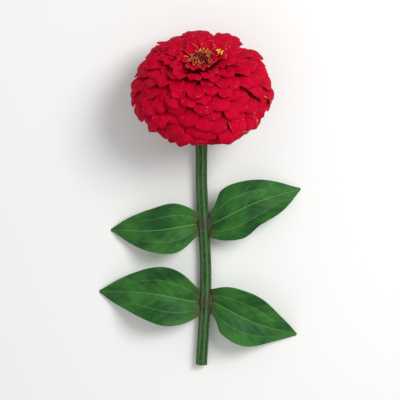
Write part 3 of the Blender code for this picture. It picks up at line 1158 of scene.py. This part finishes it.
def leaf_relief(along, across, offset, breadth, phase, twist):
    """Height over the middle line: folded along the midrib, grooved along the veins, quilted
    between them, waved at the edge and twisted towards the tip."""
    away, hand = np.abs(across), np.sign(across)
    height = FOLD * away**1.25 * (1 - rise(along, 0.35, 1.0)) * breadth
    height = height - MIDRIB_GROOVE * np.exp(-((offset / (1.5 * MM)) ** 2)) * (1 - along)
    groove = SIDE_GROOVE * np.exp(-(((away - SIDE_VEIN) / 0.08) ** 2))
    height = height - groove * (1 - rise(along, 0.6, 0.95))
    ribs = np.sin(2 * math.pi * (8 * along - 2.6 * away + 0.08 * hand))
    ribs = ribs * rise(along, 0.1, 0.3) * (1 - rise(along, 0.8, 1)) * rise(away, 0.02, 0.2)
    height = height + QUILTING * ribs
    edge = away**3 * rise(along, 0.12, 0.35) * (1 - rise(along, 0.75, 1.0))
    height = height + EDGE_WAVES * edge * np.sin(9 * along + phase + 1.3 * hand)
    return height + twist * offset * rise(along, 0.3, 0.9)


def roll(offset, start, bend):
    """Where a strip lands, sideways and up, when it curls upward beyond the start by that bend."""
    past = np.maximum(offset - start, 0)
    bend = np.maximum(bend, 1e-3)
    flat = np.minimum(offset, start)
    return flat + np.sin(past * bend) / bend, (1 - np.cos(past * bend)) / bend


def add_leaf(sheets, name):
    width, arch, sway, twist, curls = LEAVES[name]
    base, tip = leaf_ends(name)
    ahead = Vector((tip.x - base.x, tip.y - base.y, 0))
    length = ahead.length
    ahead.normalize()
    clasp = base - ahead * CLASP
    leave = clasp + ahead * length * 0.35 + Vector((0, 0, arch))
    arrive = clasp + ahead * length * 0.75
    arrive.z = arch * 0.7
    along, across = strip(LEAF_ROWS, LEAF_COLUMNS)
    curve = cubic(*(np.array(point) for point in (clasp, leave, arrive, tip)), along[..., None])

    # Across the leaf means along the stem at the base, and square to the leaf further out.
    outward = math.copysign(1, ahead.x)
    square = 1 - rise(along, 0, 0.25)
    side = np.array([-ahead.y, ahead.x, 0]) * outward * (1 - square[..., None])
    side = side + np.array([0, 1.0, 0]) * square[..., None]
    side = side / np.linalg.norm(side, axis=-1, keepdims=True)

    phase = rng.uniform(0, 6)
    breadth = leaf_breadth(along, phase)
    offset = across * width / 2 * breadth
    height = leaf_relief(along, across, offset, breadth, phase, twist)
    # Each margin curls upward by its own amount, most in the middle of the leaf.
    reach = rise(along, 0.18, 0.5) * (1 - rise(along, 0.72, 0.98))
    landed = offset
    for sign, (start, bend) in zip((-1, 1), curls):
        margin, lift = roll(sign * offset, start * width / 2, bend * reach / MM)
        landed = np.where(sign * offset > 0, sign * margin, landed)
        height = height + np.where(sign * offset > 0, lift, 0)
    bow = sway * np.sin(math.pi * along) ** 1.5
    grid = curve - outward * side * landed[..., None] + side * bow[..., None]
    grid[..., 2] = np.maximum(grid[..., 2] + height, 0.25 * MM)
    sheets.add(
        grid,
        LEAF_THICKNESS,
        across=across,
        along=along,
        side_mm=offset / MM,
        way_mm=along * length / MM,
        seed=phase,
    )


def leaf_finish():
    finish = Finish("leaf_green", roughness=0.5)
    finish.surface.inputs["Specular IOR Level"].default_value = 0.16
    along, across, under = finish.marks("along", "across", "under")
    side, way, seed = finish.marks("side_mm", "way_mm", "seed")
    grain = finish.grain(side, way, seed * 3.1)
    patches = finish.noise(grain, (0.09, 0.06, 1), 3.0)
    fine = finish.noise(grain, (1.3, 1.3, 1), 4.0)
    green = finish.mix(patches.between(0.3, 0.7), colour(24, 74, 32), colour(54, 114, 44))
    green = finish.mix(fine.between(0.45, 0.75) * 0.22, green, colour(76, 130, 64))

    midrib = 1 - (abs(side) / (1.0 - 0.7 * along)).between(0.3, 0.65)
    spread = abs(abs(across) - SIDE_VEIN)
    lateral = (1 - spread.between(0.01, 0.028)) * (1 - along.between(0.55, 0.9))
    branch = (way * 0.13 - abs(across) * 2.6 + patches * 0.9).fraction()
    branches = (1 - abs(branch - 0.5).between(0.015, 0.05)) * along.between(0.05, 0.2)
    vein = midrib * 0.6 + lateral * 0.26 + branches * 0.13
    green = finish.mix(vein, green, colour(116, 158, 92))
    pale = finish.mix(fine, colour(100, 136, 90), colour(134, 164, 118))
    pale = finish.mix(vein * 0.8, pale, colour(160, 184, 138))
    green = finish.mix(under, green, pale)
    base = 1 - along.between(0.0, 0.1)
    green = finish.mix(base * 0.5, green, colour(92, 62, 56))
    return finish.paint(green, 0.42 + fine * 0.2, fine * 0.6 - vein, 0.25 * MM)


def grow_leaves():
    material = leaf_finish()
    for name in LEAVES:
        sheets = Sheets()
        add_leaf(sheets, name)
        sheets.finish(name + "_blade", material, "leaf", [name])


grow_leaves()
print("leaves:", list(LEAVES))
